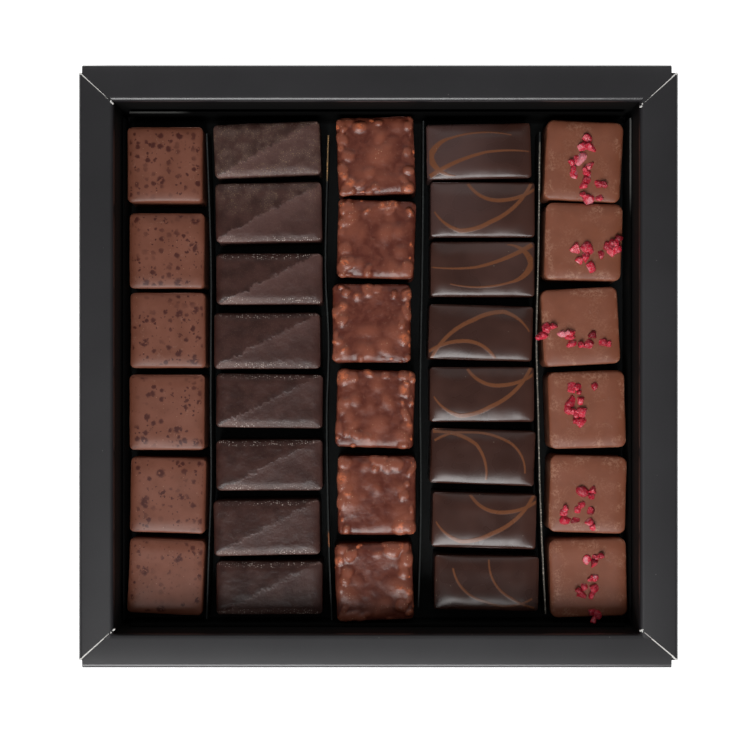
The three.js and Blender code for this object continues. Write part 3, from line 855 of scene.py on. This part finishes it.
# Each stroke: where it starts, passes and ends on the bar, and its half widths at both ends.
SWIRLS = {
    "crescent": [
        ((10.2, 4.7), (-1.1, 5.6), (-8.9, 4.1), 0.15, 0.35),
        ((-8.9, 4.1), (-13.0, 1.9), (-15.3, -1.6), 0.35, 1.15),
        ((-15.3, -1.6), (-13.6, -4.8), (-7.6, -7.6), 1.15, 0.15),
        ((-15.4, -7.6), (-5.7, -2.8), (2.1, -0.5), 0.75, 0.4),
        ((2.1, -0.5), (9.0, -0.1), (16.4, -0.6), 0.4, 0.15),
    ],
    "crossing": [
        ((-4.6, 8.0), (-1.0, 4.4), (5.8, 2.8), 0.45, 0.6),
        ((5.8, 2.8), (10.5, 3.6), (16.1, 6.3), 0.6, 0.45),
        ((15.2, 8.3), (10.9, 1.9), (2.4, -3.9), 0.5, 0.65),
        ((2.4, -3.9), (-2.4, -6.0), (-7.0, -6.7), 0.65, 0.65),
        ((-7.0, -6.7), (-11.5, -4.6), (-15.1, -0.7), 0.65, 0.2),
    ],
    "parting": [
        ((-15.8, 7.7), (-8.4, 6.9), (-2.2, 3.9), 0.7, 0.5),
        ((-2.2, 3.9), (0.5, -0.8), (1.2, -7.0), 0.5, 0.3),
        ((-15.2, 4.7), (-11.0, 6.8), (-5.3, 7.6), 0.35, 0.4),
        ((-5.3, 7.6), (1.6, 7.2), (8.6, 4.6), 0.4, 0.4),
        ((8.6, 4.6), (12.3, 0.2), (13.3, -4.6), 0.4, 0.25),
    ],
    "meeting": [
        ((-10.6, 4.6), (-7.2, -2.0), (-0.3, -5.7), 0.3, 0.4),
        ((-0.3, -5.7), (7.0, -6.9), (14.3, -4.5), 0.4, 0.3),
        ((0.6, 7.4), (2.3, 0.5), (7.8, -4.5), 0.25, 0.4),
        ((7.8, -4.5), (11.0, -6.2), (15.0, -7.4), 0.4, 0.3),
    ],
}
SWIRL_OF_BAR = [
    "crescent", "crossing", "crescent", "crossing", "crossing", "parting", "crossing", "meeting",
]
TURNED_BARS = {3, 4}


def glossy_dark(swirl, strokes):
    finish = Finish(f"glossy_dark_{swirl}", Specular_IOR_Level=0.5)
    place = finish.node("ShaderNodeUVMap", {"uv_map": "on_praline"})
    cloud = finish.mottle(10, detail=2)
    printed = None
    for stroke in strokes:
        mask = arc(finish, place, *stroke)
        printed = mask if printed is None else printed.most(mask)
    uneven = finish.mottle(0.9, detail=3).rising(0.2, 0.5) * 0.25 + 0.75
    printed = printed * uneven * finish.facing_up(0.8, 0.95)
    dust = finish.specks(4.5, 0.1, 0.16)
    dark = finish.blend(cloud.rising(0.3, 0.7), srgb(56, 31, 24), srgb(68, 40, 32))
    # Painted sheen: the western part of each bar's top (the eastern part on the turned bars) is lighter and
    # lilac, most on the northern bars, in place of a soft reflection.
    bloom_and_painted_sheen = finish.axis(place, "X").rising(12, -8) * finish.axis(finish.place, "Y").rising(10, 75)
    dark = finish.blend(bloom_and_painted_sheen * 0.4, dark, srgb(104, 82, 80))
    dark = finish.blend(printed * 0.9, dark, srgb(118, 70, 42))
    return finish.wear(
        Base_Color=finish.blend(dust * 0.7, dark, srgb(150, 135, 120)),
        Roughness=0.24 + 0.08 * cloud,
        height=0.02 * printed + 0.45 * finish.mottle(10, detail=1),
    )


swirl_finishes = {swirl: glossy_dark(swirl, strokes) for swirl, strokes in SWIRLS.items()}
for number, swirl in enumerate(SWIRL_OF_BAR, 1):
    node = f"swirl_bar_{number}"
    place, width, depth, height = lie_of(node, CORNER_RADIUS)
    bm = coated_block(
        width, depth, height, number + 60, corner=BAR_CORNER, wave=0.07, drop=1.05, reach=5.6
    )
    mark_local(bm, turned=number in TURNED_BARS)
    finish_piece(bm, f"swirl_{number}", [swirl_finishes[swirl]], [node], place)

# The fifth column holds six squares of milk chocolate strewn with pieces of freeze-dried berry, which
# sank a little into the wet coating. Each piece is one bead of the berry or two broken off together, with
# flat pink breaks.
BERRY_CORNER = 2.3
BERRY_SHOWS = 0.4
BERRY_APART = 1.0
BREAKS = 9

plain_milk = Finish("plain_milk", Specular_IOR_Level=0.45)
brown, cloud, scuff = milk_colours(plain_milk)
brown = plain_milk.blend(0.2 + 0.5 * plain_milk.mottle(3.5, detail=4), brown, srgb(146, 84, 58))
rub = plain_milk.mottle(0.7, detail=4, roughness=0.7, distortion=0.5).rising(0.45, 0.6)
rub = rub * plain_milk.mottle(5).rising(0.47, 0.6) * (1 - 0.7 * plain_milk.facing_up(0.985, 0.999))
brown = plain_milk.blend(rub * 0.6, brown, srgb(178, 130, 106))
plain_milk.wear(
    Base_Color=brown,
    Roughness=0.4 + 0.14 * cloud + 0.12 * scuff,
    height=0.03 * plain_milk.mottle(1.1, detail=3) + 0.05 * scuff,
)
berry_red = Finish("berry_red", Roughness=0.3, Specular_IOR_Level=0.5, Subsurface_Weight=0.15)
berry_red.shader.inputs["Subsurface Radius"].default_value = (0.6 * MM, 0.15 * MM, 0.15 * MM)
deep = berry_red.node("ShaderNodeAttribute", {"attribute_name": "deep"}, output="Fac")
tone = berry_red.node("ShaderNodeAttribute", {"attribute_name": "tone"}, output="Fac")
bloom_and_painted_sheen = berry_red.mottle(0.6, detail=2, roughness=0.6).rising(0.42, 0.68)
red = berry_red.blend(tone.rising(0, 0.6), srgb(110, 6, 22), srgb(210, 36, 62))
red = berry_red.blend(tone.rising(0.6, 1), red, srgb(238, 150, 160))
red = berry_red.blend(bloom_and_painted_sheen * 0.5 * tone, red, srgb(245, 170, 180))
berry_red.wear(
    # Painted shade: the beads are painted darker towards their bottoms.
    Base_Color=berry_red.blend(deep.rising(0.45, 1), red, srgb(92, 6, 20)),
    height=0.12 * bloom_and_painted_sheen,
)


def berry_peaks(node, top):
    """The top of each piece of berry on a square's solid, from the local peaks of its mesh."""
    bm = bmesh.new()
    bm.from_mesh(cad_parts[node].data)
    bmesh.ops.scale(bm, vec=(1 / MM,) * 3, verts=bm.verts)
    bmesh.ops.remove_doubles(bm, verts=bm.verts, dist=0.01)
    peaks = []
    for vertex in sorted(bm.verts, key=lambda v: (-v.co.z, v.co.x)):
        if vertex.co.z < top + BERRY_SHOWS:
            break
        around = [edge.other_vert(vertex).co.z for edge in vertex.link_edges]
        if max(around) <= vertex.co.z + 0.001:
            if all((vertex.co.xy - seen.xy).length > BERRY_APART for seen in peaks):
                peaks.append(vertex.co.copy())
    bm.free()
    return peaks


def berry_bead(middle, radius, stretch, turn, tones, draw):
    """One bead of a berry, cut flat on some sides, with pale breaks, and its lower flanks painted dark as
    painted shade.
    """
    bm = bmesh.new()
    bmesh.ops.create_icosphere(bm, subdivisions=3, radius=1)
    deep = bm.verts.layers.float.new("deep")
    tone = bm.verts.layers.float.new("tone")
    cuts = []
    for _ in range(BREAKS):
        away = Vector((draw.gauss(0, 1), draw.gauss(0, 1), draw.gauss(0, 0.8))).normalized()
        cuts.append((away, draw.uniform(0.5, 0.82), draw.random() > 0.7))
    for vertex in bm.verts:
        where = vertex.co.copy()
        broken = 0
        for away, level, pale in cuts:
            beyond = where.dot(away) - level
            if beyond > 0:
                where -= away * beyond
                broken = max(broken, min(1, beyond * 5)) if pale else broken
        vertex[tone] = max(tones[0], broken * tones[1])
        # The lower part of the bead is marked for painted shade.
        vertex[deep] = max(0, 0.25 - where.z) * 1.5
        vertex.co = where
    place = Matrix.Translation(middle) @ Matrix.Rotation(turn, 4, "Z")
    place @= Matrix.Diagonal((radius * stretch, radius, radius, 1))
    bmesh.ops.transform(bm, matrix=place, verts=bm.verts)
    return bm


def berry_piece(peak, top, draw):
    """One piece of berry: a large bead, with a smaller one beside it on half of the pieces."""
    height = peak.z - top
    radius = draw.uniform(1.3, 1.7) * height
    turn = draw.uniform(0, 6.3)
    red = draw.choice(((0.5, 0.9), (0.45, 0.8), (0.42, 0.7), (0.55, 0.9), (0.3, 0.6)))
    pale, dark = (0.85, 1), (0.1, 0.4)
    tones = draw.choices((red, pale, dark), (12, 1, 1))[0]
    middle = Vector((peak.x, peak.y, top + height - radius * 0.86))
    parts = [berry_bead(middle, radius, draw.uniform(1, 1.25), turn, tones, draw)]
    if draw.choice((False, False, True, True)):
        angle = turn + draw.uniform(-0.5, 0.5)
        size = radius * draw.uniform(0.55, 0.75)
        away = Vector((math.cos(angle), math.sin(angle), 0)) * radius * draw.uniform(0.85, 1.1)
        spot = Vector((peak.x, peak.y, top + size * 0.6)) + away
        parts.append(berry_bead(spot, size, 1.1, angle, tones, draw))
    return parts


pieces = []
for number in range(1, 7):
    node = f"berry_square_{number}"
    draw = random.Random(number + 7)
    place, width, depth, height = lie_of(node, CORNER_RADIUS)
    bm = coated_block(width, depth, height, number + 80, corner=BERRY_CORNER)
    finish_piece(bm, f"berry_base_{number}", [plain_milk], [node], place)
    top = place.translation.z + height
    for peak in berry_peaks(node, top):
        pieces += berry_piece(peak, top, draw)
finish_piece(join(pieces), "berry_pieces", [berry_red], sharp=40)

# The box stands on a plain white table under one large soft light from the south, with weak light from
# all round and a pale panel overhead to the north, and is seen from straight above.
CAMERA_AT = (-1.06, -2.58, 510)
LENS = 76
TABLE_REACH = 30000

table_white = Finish("table_white", Roughness=0.9, Specular_IOR_Level=0.0)
paper = table_white.mottle(60)
table_white.wear(
    Base_Color=table_white.blend(paper, srgb(250, 250, 250), srgb(255, 255, 255)),
)
table_white.shader.inputs["Emission Color"].default_value = (1, 1, 1, 1)
table_white.shader.inputs["Emission Strength"].default_value = 0.85
bm = bmesh.new()
bmesh.ops.create_grid(bm, x_segments=1, y_segments=1, size=TABLE_REACH)
bmesh.ops.transform(bm, matrix=Matrix.Scale(MM, 4), verts=bm.verts)
mesh = bpy.data.meshes.new("table")
bm.to_mesh(mesh)
bm.free()
mesh.materials.append(table_white.material)
table = bpy.data.objects.new("table", mesh)
bpy.context.scene.collection.objects.link(table)


def soft_light(name, place, size, watts):
    """A rectangle of soft light that faces the middle of the box's foot."""
    light = bpy.data.lights.new(name, "AREA")
    light.shape = "RECTANGLE"
    light.size, light.size_y = size
    light.energy = watts
    holder = bpy.data.objects.new(name, light)
    holder.location = place
    holder.rotation_euler = (-Vector(place)).to_track_quat("-Z", "Y").to_euler()
    bpy.context.scene.collection.objects.link(holder)


soft_light("key", place=(-0.15, -0.94, 1.04), size=(0.85, 0.8), watts=18.5)
soft_light("panel", place=(0, 0.8, 1.2), size=(1.6, 0.7), watts=1.7)
world = bpy.data.worlds.new("studio")
world.use_nodes = True
world.node_tree.nodes["Background"].inputs["Color"].default_value = (1, 1, 1, 1)
world.node_tree.nodes["Background"].inputs["Strength"].default_value = 0.13
bpy.context.scene.world = world
bpy.context.scene.view_settings.view_transform = "Standard"

camera = bpy.data.objects.new("camera", bpy.data.cameras.new("camera"))
camera.data.lens = LENS
camera.location = Vector(CAMERA_AT) * MM
bpy.context.scene.collection.objects.link(camera)
bpy.context.scene.camera = camera
